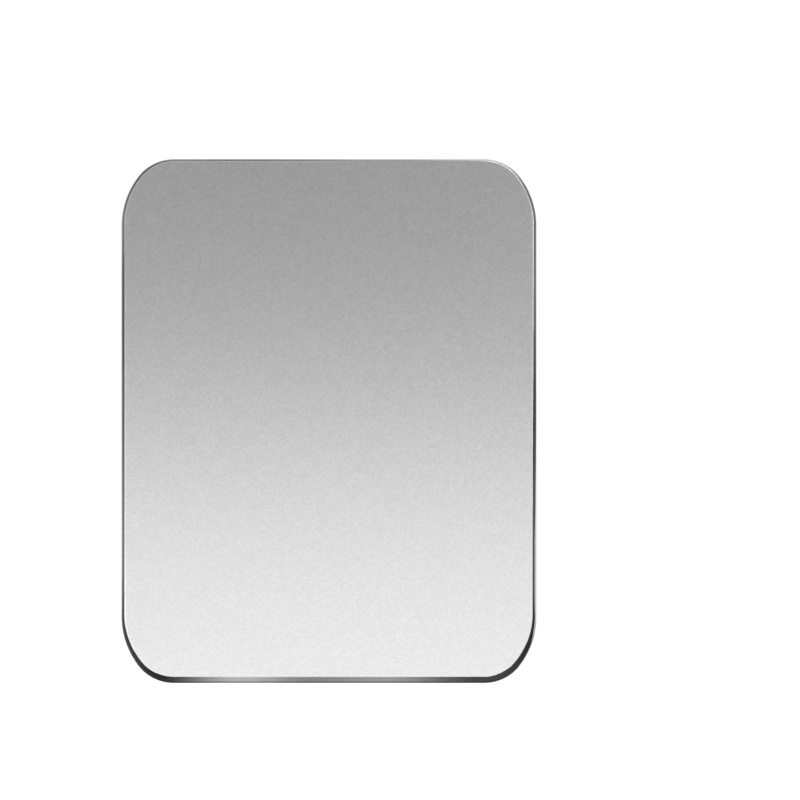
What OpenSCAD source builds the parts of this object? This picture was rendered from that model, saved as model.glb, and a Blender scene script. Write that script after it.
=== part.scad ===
// Steel plate that a magnetic phone mount grips.
// It lies flat: X across, Y along, Z up out of the satin face.
// The origin is the middle of the back, which sits on the phone or its case.

/* [Plate] */
// Width across the short way
plate_width = 38.1; // [30:0.1:60]
// Length along the long way
plate_length = 50.8; // [40:0.1:80]
// Thickness of the steel
plate_thickness = 1.0; // [0.8:0.05:3]

/* [Corners] */
// How far each corner curve reaches along the short end
corner_across = 4.8; // [3:0.1:10]
// How far each corner curve reaches along the long side
corner_along = 6.4; // [3:0.1:10]

/* [Edges] */
// Radius of the rolled edge round the front face
front_roll = 0.4; // [0.1:0.05:0.5]
// Radius of the edge break round the back
back_break = 0.1; // [0.05:0.05:0.25]

/* [Hidden] */
$fn = 96;
steel_tone = [0.74, 0.74, 0.75];
half_width = plate_width / 2;
half_length = plate_length / 2;

// Each corner is a quarter of an oval, drawn as two arcs that are tangent where they meet.
// They meet in the direction that is square to the diagonal of the corner's box.
corner_diagonal = norm([corner_across, corner_along]);
blend_way = [corner_along, corner_across] / corner_diagonal;
radius_step = (corner_along - corner_across) / (blend_way.x + blend_way.y - 1);
end_radius = corner_along - radius_step * blend_way.y;
side_radius = end_radius + radius_step;
end_centre = [half_width - corner_across, half_length - end_radius];
side_centre = [half_width - side_radius, half_length - corner_along];

// Where the straight sides and the two arcs meet, just inside the rolled edge.
side_join = [half_width - front_roll, side_centre.y];
blend_join = end_centre + (end_radius - front_roll) * blend_way;
end_join = [end_centre.x, half_length - front_roll];

// Far enough out to clear the widest arc when a corner is cut to its two sectors.
clear_of_rim = 2 * max(side_radius, end_radius);
blend_far = side_centre + clear_of_rim * blend_way;

// A quarter of a disc, cut by a square that starts at the disc's centre.
module quarter_disc(radius) {
    intersection() {
        circle(r = radius);
        square(2 * radius);
    }
}

// The plate cut through its rim, from an arc's centre on the left out to the edge.
module rim_section(reach) {
    roll_height = plate_thickness - front_roll;
    polygon([
        [0, 0],
        [reach - back_break, 0],
        [reach - back_break, back_break],
        [reach, back_break],
        [reach, roll_height],
        [reach - front_roll, roll_height],
        [reach - front_roll, plate_thickness],
        [0, plate_thickness]
    ]);
    translate([reach - front_roll, roll_height])
        quarter_disc(front_roll);
    translate([reach - back_break, back_break])
        mirror([0, 1])
            quarter_disc(back_break);
}

// The rim section turned about an arc's centre and kept inside that arc's sector.
module rim_arc(centre, radius, sector) {
    intersection() {
        translate(centre)
            rotate_extrude()
                rim_section(radius);
        translate([0, 0, -plate_thickness])
            linear_extrude(3 * plate_thickness)
                polygon(sector);
    }
}

// One corner: the wider arc leaves the long side and the tighter arc joins the short end.
module corner() {
    rim_arc(side_centre, side_radius,
        [side_centre, side_centre + [clear_of_rim, 0], blend_far]);
    rim_arc(end_centre, end_radius,
        [end_centre, blend_far, end_centre + [0, clear_of_rim]]);
}

// The straight stretch of rim along a long side, between two corners.
module long_side() {
    translate([side_centre.x, 0])
        rotate([90, 0, 0])
            linear_extrude(2 * side_centre.y, center = true)
                rim_section(side_radius);
}

// The straight stretch of rim along a short end, between two corners.
module short_end() {
    translate([0, end_centre.y])
        rotate([90, 0, 90])
            linear_extrude(2 * end_centre.x, center = true)
                rim_section(end_radius);
}

// A point and its mirror images, in order round the plate.
function all_round(joins) = [
    for (p = joins) p,
    for (i = [len(joins) - 1 : -1 : 0]) [-joins[i].x, joins[i].y],
    for (p = joins) -p,
    for (i = [len(joins) - 1 : -1 : 0]) [joins[i].x, -joins[i].y]
];

// The flat middle, which reaches out to the rolled edge wherever rim pieces meet.
module middle() {
    linear_extrude(plate_thickness)
        polygon(all_round([side_join, blend_join, end_join]));
}

// The whole plate is one piece of stamped steel.
module plate() {
    color(steel_tone) {
        middle();
        for (side = [0, 1]) {
            mirror([side, 0])
                long_side();
            mirror([0, side])
                short_end();
            for (end = [0, 1])
                mirror([side, 0])
                    mirror([0, end])
                        corner();
        }
    }
}

plate();
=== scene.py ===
import math
import bpy
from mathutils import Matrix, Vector


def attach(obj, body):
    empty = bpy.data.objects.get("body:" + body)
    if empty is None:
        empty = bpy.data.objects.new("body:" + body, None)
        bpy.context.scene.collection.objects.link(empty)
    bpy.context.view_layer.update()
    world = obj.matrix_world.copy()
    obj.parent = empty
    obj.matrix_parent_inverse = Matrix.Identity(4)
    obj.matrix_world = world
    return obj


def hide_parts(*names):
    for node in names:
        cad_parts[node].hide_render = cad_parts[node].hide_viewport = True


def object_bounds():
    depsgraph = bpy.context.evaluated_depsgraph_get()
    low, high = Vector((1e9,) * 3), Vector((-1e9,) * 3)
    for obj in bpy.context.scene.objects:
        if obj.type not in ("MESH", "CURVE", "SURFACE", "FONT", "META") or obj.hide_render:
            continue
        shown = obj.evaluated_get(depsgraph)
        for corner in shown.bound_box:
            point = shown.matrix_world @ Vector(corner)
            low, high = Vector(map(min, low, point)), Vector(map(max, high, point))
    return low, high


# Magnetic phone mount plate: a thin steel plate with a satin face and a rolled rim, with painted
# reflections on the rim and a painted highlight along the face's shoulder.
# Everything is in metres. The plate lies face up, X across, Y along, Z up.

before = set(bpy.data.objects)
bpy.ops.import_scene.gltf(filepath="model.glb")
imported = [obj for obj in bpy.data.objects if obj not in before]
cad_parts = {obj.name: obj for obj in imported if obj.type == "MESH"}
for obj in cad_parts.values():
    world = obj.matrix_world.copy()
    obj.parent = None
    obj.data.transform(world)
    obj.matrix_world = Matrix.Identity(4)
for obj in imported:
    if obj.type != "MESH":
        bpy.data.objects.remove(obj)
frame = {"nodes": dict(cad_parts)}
cadLow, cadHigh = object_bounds()
plateWidth = cadHigh.x - cadLow.x
plateLength = cadHigh.y - cadLow.y
plateThickness = cadHigh.z - cadLow.z

mm = 0.001
print("frame loaded:", ", ".join(frame["nodes"]))

# a Mix node's sockets go by number, because several of them share a name
mixFactor, mixNumberA, mixNumberB, mixColourA, mixColourB = 0, 2, 3, 6, 7
mixedColour = 2


def hexToLinear(hexColour):
    # sRGB hex to the linear RGBA that shaders use
    channels = [int(hexColour[i:i + 2], 16) / 255 for i in (1, 3, 5)]
    linear = [c / 12.92 if c <= 0.04045 else ((c + 0.055) / 1.055) ** 2.4 for c in channels]
    return (*linear, 1.0)


def addNode(tree, kind, settings=None, links=None):
    # settings go to the node's own properties or to its inputs,
    # links join other nodes' outputs to its inputs
    node = tree.nodes.new(kind)
    for name, value in (settings or {}).items():
        if isinstance(name, str) and hasattr(node, name):
            setattr(node, name, value)
        else:
            node.inputs[name].default_value = value
    for name, output in (links or {}).items():
        tree.links.new(output, node.inputs[name])
    return node


def newMaterial(name):
    material = bpy.data.materials.new(name)
    material.use_nodes = True
    material.node_tree.nodes.clear()
    return material, material.node_tree


cameraLook = {
    "elevation": math.radians(70.63),  # looking down on the face, from its near end
    "pictureSize": 800,                # pixels, the photograph's frame
    "platePixels": 414.6,              # how wide the plate is in the photograph
    "platePlace": (329.0, 421.3),      # the middle of its outline there
    "farRoundOff": 0.11 * mm,          # what the roll takes off the far edge, seen from there
    "distance": 0.4,
    "clipStart": 1 * mm,
}


def addCamera(look):
    metresPerPixel = plateWidth / look["platePixels"]
    right = Vector((1, 0, 0))
    up = Vector((0, math.sin(look["elevation"]), math.cos(look["elevation"])))
    back = Vector((0, -math.cos(look["elevation"]), math.sin(look["elevation"])))
    # the outline's middle lies between the far rolled edge and the near foot of the wall
    farTop = Vector((0, cadHigh.y, cadHigh.z)).dot(up) - look["farRoundOff"]
    nearFoot = Vector((0, cadLow.y, cadLow.z)).dot(up)
    middle = (farTop + nearFoot) / 2
    half = look["pictureSize"] / 2
    shiftRight = (half - look["platePlace"][0]) * metresPerPixel
    shiftUp = middle - (half - look["platePlace"][1]) * metresPerPixel
    camera = bpy.data.objects.new("camera", bpy.data.cameras.new("camera"))
    camera.data.type = "ORTHO"
    camera.data.ortho_scale = look["pictureSize"] * metresPerPixel
    camera.data.clip_start = look["clipStart"]
    camera.location = right * shiftRight + up * shiftUp + back * look["distance"]
    camera.rotation_euler = (math.pi / 2 - look["elevation"], 0, 0)
    bpy.context.scene.collection.objects.link(camera)
    bpy.context.scene.camera = camera
    print("camera placed")


addCamera(cameraLook)


# a place round the rim is a number from 0 to 1, anticlockwise from the middle of the left side
plateLook = {
    "cornerAcross": 4.8 * mm,     # how far each corner curve reaches along the short end
    "cornerAlong": 6.4 * mm,      # and along the long side
    "frontRoll": 0.4 * mm,        # radius of the rolled edge round the face
    "backBreak": 0.1 * mm,        # radius of the edge break round the back
    "satinReach": [               # (place round the rim, degrees of the roll that were blasted; beyond them the rim's painted reflection starts)
        (0.0, 24), (0.10, 24), (0.125, 19), (0.15, 16), (0.354, 16), (0.364, 9), (0.375, 6),
        (0.38, 6.5), (0.39, 9), (0.405, 8), (0.453, 10.5), (0.485, 13), (0.52, 20), (0.57, 24),
        (0.85, 24), (0.862, 19), (0.872, 20), (0.882, 26), (0.895, 28), (0.91, 24), (1.0, 24)],
    "reachSlack": 0.01,           # degrees, so that a strip right at the reach is still satin
    "arcSteps": 32,               # steps along each of a corner's two arcs
    "sideSteps": 40,              # steps along a straight side
    "rollSteps": 36,              # steps round the rolled edge
    "breakSteps": 6,              # steps round the edge break
    "sameWay": 1e-6,              # two outward directions closer than this face the same way
}
satinSlot, rimSlot, backSlot = 0, 1, 2  # material slots on the mesh


def cornerArcs(look):
    # a quarter of an oval as two tangent arcs: (centre, radius, first angle, last angle)
    # they meet in the direction that is square to the diagonal of the corner's box
    across, along = look["cornerAcross"], look["cornerAlong"]
    diagonal = math.hypot(across, along)
    blendX, blendY = along / diagonal, across / diagonal
    radiusStep = (along - across) / (blendX + blendY - 1)
    endRadius = along - radiusStep * blendY
    sideRadius = endRadius + radiusStep
    blendAngle = math.atan2(blendY, blendX)
    endCentre = Vector((plateWidth / 2 - across, plateLength / 2 - endRadius))
    sideCentre = Vector((plateWidth / 2 - sideRadius, plateLength / 2 - along))
    return [(sideCentre, sideRadius, 0, blendAngle),
            (endCentre, endRadius, blendAngle, math.pi / 2)]


def outlineStations(look):
    # (place on the outline, outward direction) all round, anticlockwise from the right side
    quarter = []
    for centre, radius, start, stop in cornerArcs(look):
        for i in range(look["arcSteps"]):
            angle = start + (stop - start) * i / look["arcSteps"]
            out = Vector((math.cos(angle), math.sin(angle)))
            quarter.append((centre + radius * out, out))
    endCentre, endRadius = cornerArcs(look)[-1][:2]
    farWay = Vector((0, 1))
    quarter.append((endCentre + endRadius * farWay, farWay))
    flipped = [(Vector((-place.x, place.y)), Vector((-out.x, out.y)))
               for place, out in reversed(quarter)]
    half = quarter + flipped
    corners = half + [(-place, -out) for place, out in half]
    stations = []
    for (place, out), (nextPlace, nextOut) in zip(corners, corners[1:] + corners[:1]):
        stations.append((place, out))
        if (out - nextOut).length < look["sameWay"]:  # a straight side lies ahead
            for i in range(1, look["sideSteps"]):
                stations.append((place.lerp(nextPlace, i / look["sideSteps"]), out))
    return stations


def rimSection(look):
    # (distance in from the outline, height, tilt of the surface from straight up), face to back
    roll, edge = look["frontRoll"], look["backBreak"]
    section = []
    for i in range(look["rollSteps"] + 1):
        tilt = math.pi / 2 * i / look["rollSteps"]
        height = plateThickness - roll * (1 - math.cos(tilt))
        section.append((roll * (1 - math.sin(tilt)), height, tilt))
    for i in range(look["breakSteps"] + 1):
        turn = math.pi / 2 * i / look["breakSteps"]
        height = edge * (1 - math.sin(turn))
        section.append((edge * (1 - math.cos(turn)), height, math.pi / 2 + turn))
    return section


def aroundRim(place):
    # the place round the rim of a point on the outline
    return math.atan2(place.y / plateLength, place.x / plateWidth) / (2 * math.pi) + 0.5


def levelAt(spot, stops):
    # straight lines between (place round the rim, amount) stops
    for (low, start), (high, end) in zip(stops, stops[1:]):
        if spot <= high:
            return start + (end - start) * (spot - low) / (high - low)
    return stops[-1][1]


def buildPlate(look):
    stations = outlineStations(look)
    section = rimSection(look)
    count = len(stations)
    reached = [levelAt(aroundRim(place), look["satinReach"]) for place, _ in stations]
    verts, normals, faces, slots = [], [], [], []
    for inset, height, tilt in section:
        for place, out in stations:
            point = place - inset * out
            verts.append((point.x, point.y, height))
            normals.append((out.x * math.sin(tilt), out.y * math.sin(tilt), math.cos(tilt)))
    for ring in range(len(section) - 1):
        upper, lower = ring * count, (ring + 1) * count
        tilt = math.degrees(section[ring + 1][2])
        for i in range(count):
            j = (i + 1) % count
            faces.append((upper + i, lower + i, lower + j, upper + j))
            blasted = tilt <= reached[i] + look["reachSlack"]
            slots.append(satinSlot if blasted else rimSlot)
    faces.append(tuple(range(count)))  # the flat face
    slots.append(satinSlot)
    last = (len(section) - 1) * count
    faces.append(tuple(last + i for i in reversed(range(count))))  # the flat back
    slots.append(backSlot)
    mesh = bpy.data.meshes.new("steelPlate")
    mesh.from_pydata(verts, [], faces)
    mesh.polygons.foreach_set("material_index", slots)
    mesh.polygons.foreach_set("use_smooth", [True] * len(faces))
    mesh.normals_split_custom_set_from_vertices(normals)
    mesh.validate()
    plate = bpy.data.objects.new("steelPlate", mesh)
    bpy.context.scene.collection.objects.link(plate)
    print("plate built:", len(faces), "faces")
    return plate


plate = buildPlate(plateLook)


def amountRoundRim(tree, place, stops):
    # (place round the rim, amount) stops, for painted highlights and reflections that change along
    # the outline
    scaled = addNode(tree, "ShaderNodeVectorMath",
                     {"operation": "MULTIPLY", 1: (2 / plateWidth, 2 / plateLength, 0)},
                     {0: place.outputs["Object"]})
    around = addNode(tree, "ShaderNodeTexGradient", {"gradient_type": "RADIAL"},
                     {"Vector": scaled.outputs[0]})
    ramp = addNode(tree, "ShaderNodeValToRGB", links={"Fac": around.outputs["Fac"]})
    ramp.color_ramp.interpolation = "EASE"
    marks = ramp.color_ramp.elements  # a new ramp has one mark at 0 and one at 1
    for spot, amount in stops:
        mark = marks[0] if spot == 0 else marks[-1] if spot == 1 else marks.new(spot)
        mark.color = (amount, amount, amount, 1)
    return ramp.outputs["Color"]


satinLook = {
    "colour": "#dededf",           # bare steel
    "roughness": 0.34,
    "roughnessSpread": 0.012,
    "dimpleSize": 0.16 * mm,       # real bead dimples are finer, this is the finest that shows
    "dimpleTone": 0.058,           # how much lighter or darker a dimple is
    "dimpleDepth": 0.0006 * mm,
    "dimplesFade": (1, 9),         # degrees of tilt over which the dimples are worn smooth
    "shoulderHighlightColour": "#fdfdfd",   # painted highlight where the face begins to turn over
    "shoulderRoughness": 0.26,
    "shoulderHighlightStarts": (0.3, 4),    # degrees of tilt over which the painted highlight comes in
    "shoulderRubbed": [            # (place round the rim, how strong the painted highlight is)
        (0.0, 1.0), (0.02, 0.9), (0.05, 0.6), (0.075, 0.5), (0.095, 0.75), (0.105, 0.6),
        (0.118, 0.1), (0.13, 0.0), (0.40, 0.0), (0.45, 0.5), (0.52, 1.0), (0.641, 1.0),
        (0.65, 0.2), (0.69, 0.25), (0.73, 0.6), (0.76, 0.85), (0.89, 1.0), (0.90, 0.7),
        (0.93, 1.0), (1.0, 1.0)],
}


def satinSteel(look):
    # bead-blasted satin steel: an even, soft sheen with a fine speckle,
    # smoother at its shoulder, where a highlight is painted into the colour
    material, tree = newMaterial("beadBlastedSatinSteel")
    place = addNode(tree, "ShaderNodeTexCoord")
    dimples = addNode(tree, "ShaderNodeTexVoronoi", {"Scale": 1 / look["dimpleSize"]},
                      {"Vector": place.outputs["Object"]})
    speckle = addNode(tree, "ShaderNodeSeparateColor", links={0: dimples.outputs["Color"]})
    tone = addNode(tree, "ShaderNodeMapRange",
                   {"To Min": 1 - look["dimpleTone"], "To Max": 1 + look["dimpleTone"]},
                   {"Value": speckle.outputs[0]})
    normal = addNode(tree, "ShaderNodeSeparateXYZ", links={0: place.outputs["Normal"]})
    fadeFrom, fadeTo = [math.cos(math.radians(tilt)) for tilt in look["dimplesFade"]]
    turned = addNode(tree, "ShaderNodeMapRange",
                     {"interpolation_type": "SMOOTHSTEP", "From Min": fadeFrom,
                      "From Max": fadeTo},
                     {"Value": normal.outputs["Z"]})
    # painted highlight along the shoulder, stronger at some places round the rim than at others
    highlightFrom, highlightTo = [math.cos(math.radians(tilt)) for tilt in look["shoulderHighlightStarts"]]
    overEdge = addNode(tree, "ShaderNodeMapRange",
                       {"interpolation_type": "SMOOTHSTEP", "From Min": highlightFrom,
                        "From Max": highlightTo},
                       {"Value": normal.outputs["Z"]})
    paintedLightLevel = addNode(tree, "ShaderNodeMath", {"operation": "MULTIPLY"},
                     {0: overEdge.outputs[0],
                      1: amountRoundRim(tree, place, look["shoulderRubbed"])})
    base = addNode(tree, "ShaderNodeMix",
                   {"data_type": "RGBA", mixColourA: hexToLinear(look["colour"]),
                    mixColourB: hexToLinear(look["shoulderHighlightColour"])},
                   {mixFactor: paintedLightLevel.outputs[0]})
    colour = addNode(tree, "ShaderNodeMix",
                     {"data_type": "RGBA", "blend_type": "MULTIPLY", mixFactor: 1.0},
                     {mixColourA: base.outputs[mixedColour], mixColourB: tone.outputs[0]})
    evenness = addNode(tree, "ShaderNodeMapRange",
                       {"To Min": look["roughness"] - look["roughnessSpread"],
                        "To Max": look["roughness"] + look["roughnessSpread"]},
                       {"Value": speckle.outputs[0]})
    roughness = addNode(tree, "ShaderNodeMix", {mixNumberB: look["shoulderRoughness"]},
                        {mixFactor: turned.outputs[0], mixNumberA: evenness.outputs[0]})
    flat = addNode(tree, "ShaderNodeMath", {"operation": "SUBTRACT", 0: 1.0},
                   {1: turned.outputs[0]})
    bump = addNode(tree, "ShaderNodeBump", {"Distance": look["dimpleDepth"]},
                   {"Strength": flat.outputs[0], "Height": dimples.outputs["Distance"]})
    shader = addNode(tree, "ShaderNodeBsdfPrincipled", {"Metallic": 1.0},
                     {"Base Color": colour.outputs[mixedColour],
                      "Roughness": roughness.outputs[0], "Normal": bump.outputs[0]})
    addNode(tree, "ShaderNodeOutputMaterial", links={"Surface": shader.outputs[0]})
    return material


rimLook = {
    "paintedDarkColour": "#2b2b2c",       # painted dark reflection
    "paintedBrightColour": "#cfcfd1",     # painted bright reflection
    "paintedLightLevel": [                    # (place round the rim, how bright the painted reflection is)
        (0.0, 0.27), (0.073, 0.39), (0.117, 0.04), (0.14, 0.0), (0.184, 0.64), (0.235, 0.32),
        (0.292, 0.44), (0.352, 0.05), (0.385, 0.0), (0.45, 0.18), (0.51, 0.10), (0.59, 0.28),
        (0.62, 0.24), (0.641, 0.88), (0.66, 0.86), (0.70, 0.64), (0.73, 0.59), (0.77, 0.33),
        (0.81, 0.24), (0.835, 0.28), (0.856, 0.36), (0.868, 0.22), (0.88, 0.22), (0.898, 0.40),
        (0.92, 0.22), (0.95, 0.20), (1.0, 0.27)],
    "reflectionTop": [                   # (place round the rim, share of the thickness the painted reflection line reaches up to)
        (0.0, 0.6), (0.38, 0.6), (0.392, 0.9), (0.404, 0.976), (0.427, 0.97), (0.453, 0.88),
        (0.4825, 0.78), (0.51, 0.6), (1.0, 0.6)],  # 0.6 is where the roll starts: nothing is painted
    "reflectionBlend": 0.08 * mm,        # the height over which the painted reflection line comes in from either side
    "reflectionLineLevel": 0.78,            # how bright the painted reflection line itself is
    "glancingTint": "#bcbcbc",     # the oil film dulls it where it is seen at a glancing angle
    "roughness": 0.22,
    "breakHeight": 0.50 * mm,      # below this the steel tore instead of shearing
    "breakBlend": 0.16 * mm,       # how far above and below it the change is spread
    "breakWander": 0.05 * mm,      # how far the torn line wanders up and down
    "tornAndFootShadeTone": 0.68,             # the torn part's brightness beside the sheared part's: partly its own duller steel, partly painted shade at the foot
    "breakRoughness": 0.42,
    "streakWidth": 0.12 * mm,      # marks the punch drew down the edge, coarser than real ones
    "streakLength": 1.5 * mm,
    "streakDetail": 2.0,
    "streakTone": 0.10,
    "streakDepth": 0.0012 * mm,
}


def paintedReflectionLine(tree, place, height, look):
    # a painted reflection line along the roll, from the wall up to a height that changes along the
    # rim
    reflectionTop = addNode(tree, "ShaderNodeMath", {"operation": "MULTIPLY", 1: plateThickness},
                      {0: amountRoundRim(tree, place, look["reflectionTop"])})
    belowTop = addNode(tree, "ShaderNodeMath", {"operation": "SUBTRACT"},
                       {0: reflectionTop.outputs[0], 1: height.outputs["Z"]})
    reflectionBand = addNode(tree, "ShaderNodeMapRange",
                   {"interpolation_type": "SMOOTHSTEP", "From Max": look["reflectionBlend"],
                    "To Max": look["reflectionLineLevel"]},
                   {"Value": belowTop.outputs[0]})
    wallTop = plateThickness - plateLook["frontRoll"]
    onRoll = addNode(tree, "ShaderNodeMapRange",
                     {"interpolation_type": "SMOOTHSTEP", "From Min": wallTop,
                      "From Max": wallTop + look["reflectionBlend"]},
                     {"Value": height.outputs["Z"]})
    line = addNode(tree, "ShaderNodeMath", {"operation": "MULTIPLY"},
                   {0: reflectionBand.outputs[0], 1: onRoll.outputs[0]})
    return line.outputs[0]


def blankedSteel(look):
    # blanked steel edge whose colour is a painted reflection, dark in places and bright in others,
    # sheared smooth by the punch above, torn and rougher near the back, where its darkening is
    # partly painted shade
    material, tree = newMaterial("blankedSteelWithPaintedReflections")
    place = addNode(tree, "ShaderNodeTexCoord")
    height = addNode(tree, "ShaderNodeSeparateXYZ", links={0: place.outputs["Object"]})
    # painted reflection: how bright the rim is at each place round it, with the painted reflection
    # line on top
    paintedLightLevel = addNode(tree, "ShaderNodeMath", {"operation": "MAXIMUM"},
                     {0: amountRoundRim(tree, place, look["paintedLightLevel"]),
                      1: paintedReflectionLine(tree, place, height, look)})
    colour = addNode(tree, "ShaderNodeMix",
                     {"data_type": "RGBA", mixColourA: hexToLinear(look["paintedDarkColour"]),
                      mixColourB: hexToLinear(look["paintedBrightColour"])},
                     {mixFactor: paintedLightLevel.outputs[0]})
    long, wide = 1 / look["streakLength"], 1 / look["streakWidth"]
    drawn = addNode(tree, "ShaderNodeVectorMath",
                    {"operation": "MULTIPLY", 1: (wide, wide, long)},
                    {0: place.outputs["Object"]})
    streaks = addNode(tree, "ShaderNodeTexNoise",
                      {"Scale": 1.0, "Detail": look["streakDetail"]},
                      {"Vector": drawn.outputs[0]})
    ragged = addNode(tree, "ShaderNodeMath",
                     {"operation": "MULTIPLY_ADD", 1: 2 * look["breakWander"],
                      2: -look["breakWander"]},
                     {0: streaks.outputs["Fac"]})
    raggedHeight = addNode(tree, "ShaderNodeMath", {"operation": "ADD"},
                           {0: height.outputs["Z"], 1: ragged.outputs[0]})
    sheared = addNode(tree, "ShaderNodeMapRange",
                      {"interpolation_type": "SMOOTHSTEP",
                       "From Min": look["breakHeight"] - look["breakBlend"],
                       "From Max": look["breakHeight"] + look["breakBlend"]},
                      {"Value": raggedHeight.outputs[0]})
    # darker near the back: partly the torn steel's own tone, partly painted shade at the foot
    tornAndFootShade = addNode(tree, "ShaderNodeMapRange", {"To Min": look["tornAndFootShadeTone"], "To Max": 1.0},
                   {"Value": sheared.outputs[0]})
    streakTone = addNode(tree, "ShaderNodeMapRange",
                         {"To Min": 1 - look["streakTone"], "To Max": 1 + look["streakTone"]},
                         {"Value": streaks.outputs["Fac"]})
    tone = addNode(tree, "ShaderNodeMath", {"operation": "MULTIPLY"},
                   {0: tornAndFootShade.outputs[0], 1: streakTone.outputs[0]})
    shaded = addNode(tree, "ShaderNodeMix",
                     {"data_type": "RGBA", "blend_type": "MULTIPLY", mixFactor: 1.0},
                     {mixColourA: colour.outputs[mixedColour], mixColourB: tone.outputs[0]})
    roughness = addNode(tree, "ShaderNodeMapRange",
                        {"To Min": look["breakRoughness"], "To Max": look["roughness"]},
                        {"Value": sheared.outputs[0]})
    bump = addNode(tree, "ShaderNodeBump", {"Distance": look["streakDepth"]},
                   {"Height": streaks.outputs["Fac"]})
    shader = addNode(tree, "ShaderNodeBsdfPrincipled",
                     {"Metallic": 1.0, "Specular Tint": hexToLinear(look["glancingTint"])},
                     {"Base Color": shaded.outputs[mixedColour],
                      "Roughness": roughness.outputs[0], "Normal": bump.outputs[0]})
    addNode(tree, "ShaderNodeOutputMaterial", links={"Surface": shader.outputs[0]})
    return material


backLook = {
    "colour": "#cdcdcf",
    "roughness": 0.30,
    "roughnessSpread": 0.05,
    "lineWidth": 0.12 * mm,        # roller marks, drawn coarser than real ones so that they show
    "lineLength": 60 * mm,
    "lineDetail": 3.0,
    "lineTone": 0.08,
    "lineDepth": 0.0010 * mm,
}


def rolledSteel(look):
    # cold-rolled strip steel: faint straight roller lines along the plate's length
    material, tree = newMaterial("coldRolledStripSteel")
    place = addNode(tree, "ShaderNodeTexCoord")
    stretched = addNode(tree, "ShaderNodeVectorMath",
                        {"operation": "MULTIPLY",
                         1: (1 / look["lineWidth"], 1 / look["lineLength"], 0)},
                        {0: place.outputs["Object"]})
    lines = addNode(tree, "ShaderNodeTexNoise", {"Scale": 1.0, "Detail": look["lineDetail"]},
                    {"Vector": stretched.outputs[0]})
    tone = addNode(tree, "ShaderNodeMapRange",
                   {"To Min": 1 - look["lineTone"], "To Max": 1 + look["lineTone"]},
                   {"Value": lines.outputs["Fac"]})
    colour = addNode(tree, "ShaderNodeMix",
                     {"data_type": "RGBA", "blend_type": "MULTIPLY", mixFactor: 1.0,
                      mixColourA: hexToLinear(look["colour"])},
                     {mixColourB: tone.outputs[0]})
    roughness = addNode(tree, "ShaderNodeMapRange",
                        {"To Min": look["roughness"] - look["roughnessSpread"],
                         "To Max": look["roughness"] + look["roughnessSpread"]},
                        {"Value": lines.outputs["Fac"]})
    bump = addNode(tree, "ShaderNodeBump", {"Distance": look["lineDepth"]},
                   {"Height": lines.outputs["Fac"]})
    shader = addNode(tree, "ShaderNodeBsdfPrincipled", {"Metallic": 1.0},
                     {"Base Color": colour.outputs[mixedColour],
                      "Roughness": roughness.outputs[0], "Normal": bump.outputs[0]})
    addNode(tree, "ShaderNodeOutputMaterial", links={"Surface": shader.outputs[0]})
    return material


# in the order of satinSlot, rimSlot and backSlot
plate.data.materials.append(satinSteel(satinLook))
plate.data.materials.append(blankedSteel(rimLook))
plate.data.materials.append(rolledSteel(backLook))
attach(plate, "root")
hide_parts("plate")
print("materials made")


studioLook = {
    "floorColour": "#b0b0b0",
    "floorGlow": 0.76,             # added for the camera and for reflections only
    "floorSize": 4.0,
    "panelHeight": 0.0854,         # the overhead panel gives the face its even grey
    "panelEdge": 0.0265,           # it ends here along Y, so the far end reflects less
    "panelDepth": 0.20,
    "panelWidth": 0.5,
    "panelRadiance": 0.925,
    "worldColour": "#ffffff",
    "worldTop": 0.355,             # the level straight overhead
    "worldHorizon": 1.0,
    "worldFade": 3.0,              # how quickly the level drops from the horizon up
    "edgeLights": [                # small ones, for the bright lines along the rolled edge
        {"name": "rightEdgeLight", "place": (0.0385, 0.0245, 0.0185),
         "target": (0.0188, 0.015, 0.001), "size": (0.022, 0.005), "radiance": 1.8},
        {"name": "cornerEdgeLight", "place": (0.0298, 0.046, 0.0165),
         "target": (0.0173, 0.0235, 0.001), "size": (0.016, 0.005), "radiance": 2.3},
        {"name": "farEdgeLight", "place": (0.018, 0.0518, 0.0144),
         "target": (0.018, 0.025, 0.001), "size": (0.008, 0.005), "radiance": 2.4},
        {"name": "nearEdgeFill", "place": (0.0, -0.16, 0.038),
         "target": (0.0, -0.025, 0.001), "size": (0.12, 0.05), "radiance": 0.4},
    ],
}


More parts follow.
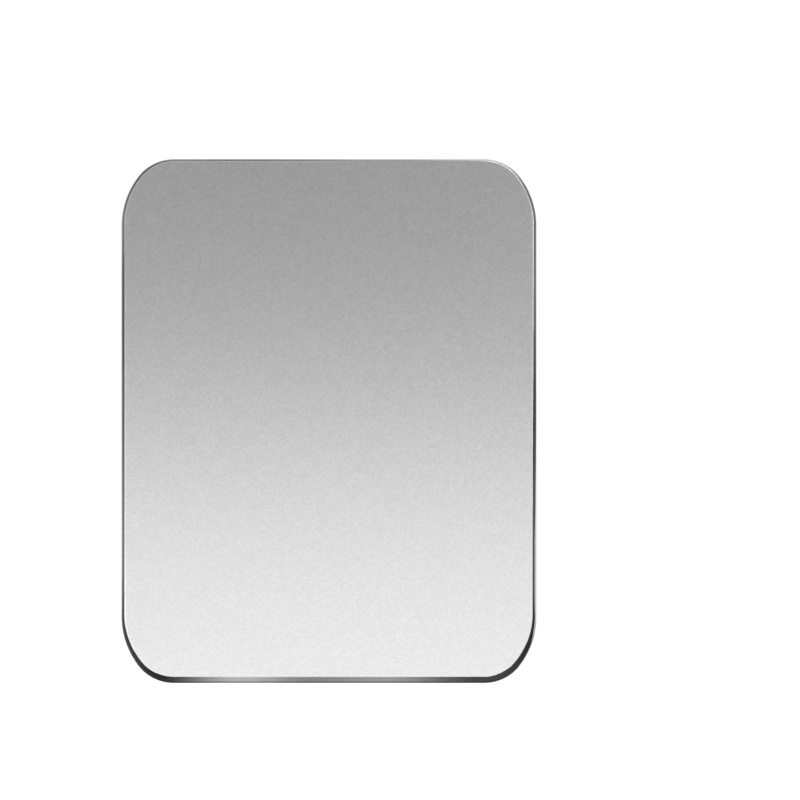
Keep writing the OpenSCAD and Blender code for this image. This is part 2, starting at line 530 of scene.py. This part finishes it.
def addFloor(look):
    half = look["floorSize"] / 2
    corners = [(-half, -half, 0), (half, -half, 0), (half, half, 0), (-half, half, 0)]
    mesh = bpy.data.meshes.new("floor")
    mesh.from_pydata(corners, [], [(0, 1, 2, 3)])
    floor = bpy.data.objects.new("floor", mesh)
    bpy.context.scene.collection.objects.link(floor)
    # white paper: dull and even, lit up to white where the camera or the steel sees it
    material, tree = newMaterial("whitePaper")
    diffuse = addNode(tree, "ShaderNodeBsdfDiffuse",
                      {"Color": hexToLinear(look["floorColour"])})
    path = addNode(tree, "ShaderNodeLightPath")
    seen = addNode(tree, "ShaderNodeMath", {"operation": "ADD"},
                   {0: path.outputs["Is Camera Ray"], 1: path.outputs["Is Glossy Ray"]})
    seenAny = addNode(tree, "ShaderNodeMath", {"operation": "ADD", "use_clamp": True},
                      {0: seen.outputs[0], 1: path.outputs["Is Transmission Ray"]})
    strength = addNode(tree, "ShaderNodeMath",
                       {"operation": "MULTIPLY", 1: look["floorGlow"]},
                       {0: seenAny.outputs[0]})
    glow = addNode(tree, "ShaderNodeEmission", links={"Strength": strength.outputs[0]})
    both = addNode(tree, "ShaderNodeAddShader",
                   links={0: diffuse.outputs[0], 1: glow.outputs[0]})
    addNode(tree, "ShaderNodeOutputMaterial", links={"Surface": both.outputs[0]})
    mesh.materials.append(material)


def addSoftLight(name, place, target, size, radiance):
    # a rectangle of even light that faces its target, with its first side level
    width, depth = size
    lamp = bpy.data.lights.new(name, "AREA")
    lamp.shape = "RECTANGLE"
    lamp.size, lamp.size_y = width, depth
    lamp.energy = radiance * math.pi * width * depth
    light = bpy.data.objects.new(name, lamp)
    light.location = place
    aim = Vector(target) - Vector(place)
    light.rotation_euler = aim.to_track_quat("-Z", "Y").to_euler()
    light.visible_camera = False
    bpy.context.scene.collection.objects.link(light)


def addLights(look):
    middleY = look["panelEdge"] - look["panelDepth"] / 2
    addSoftLight("overheadPanel", (0, middleY, look["panelHeight"]), (0, middleY, 0),
                 (look["panelWidth"], look["panelDepth"]), look["panelRadiance"])
    for light in look["edgeLights"]:
        addSoftLight(**light)


def addWorld(look):
    # an even studio: bright at the horizon and darker overhead
    world = bpy.data.worlds.new("studio")
    bpy.context.scene.world = world
    world.use_nodes = True
    tree = world.node_tree
    tree.nodes.clear()
    place = addNode(tree, "ShaderNodeTexCoord")
    split = addNode(tree, "ShaderNodeSeparateXYZ", links={0: place.outputs["Generated"]})
    low = addNode(tree, "ShaderNodeMath", {"operation": "SUBTRACT", "use_clamp": True, 0: 1.0},
                  {1: split.outputs["Z"]})
    curve = addNode(tree, "ShaderNodeMath", {"operation": "POWER", 1: look["worldFade"]},
                    {0: low.outputs[0]})
    level = addNode(tree, "ShaderNodeMapRange",
                    {"To Min": look["worldTop"], "To Max": look["worldHorizon"]},
                    {"Value": curve.outputs[0]})
    sky = addNode(tree, "ShaderNodeBackground", {"Color": hexToLinear(look["worldColour"])},
                  {"Strength": level.outputs[0]})
    addNode(tree, "ShaderNodeOutputWorld", links={"Surface": sky.outputs[0]})


addFloor(studioLook)
addLights(studioLook)
addWorld(studioLook)
bpy.context.scene.view_settings.view_transform = "Standard"
print("studio ready")
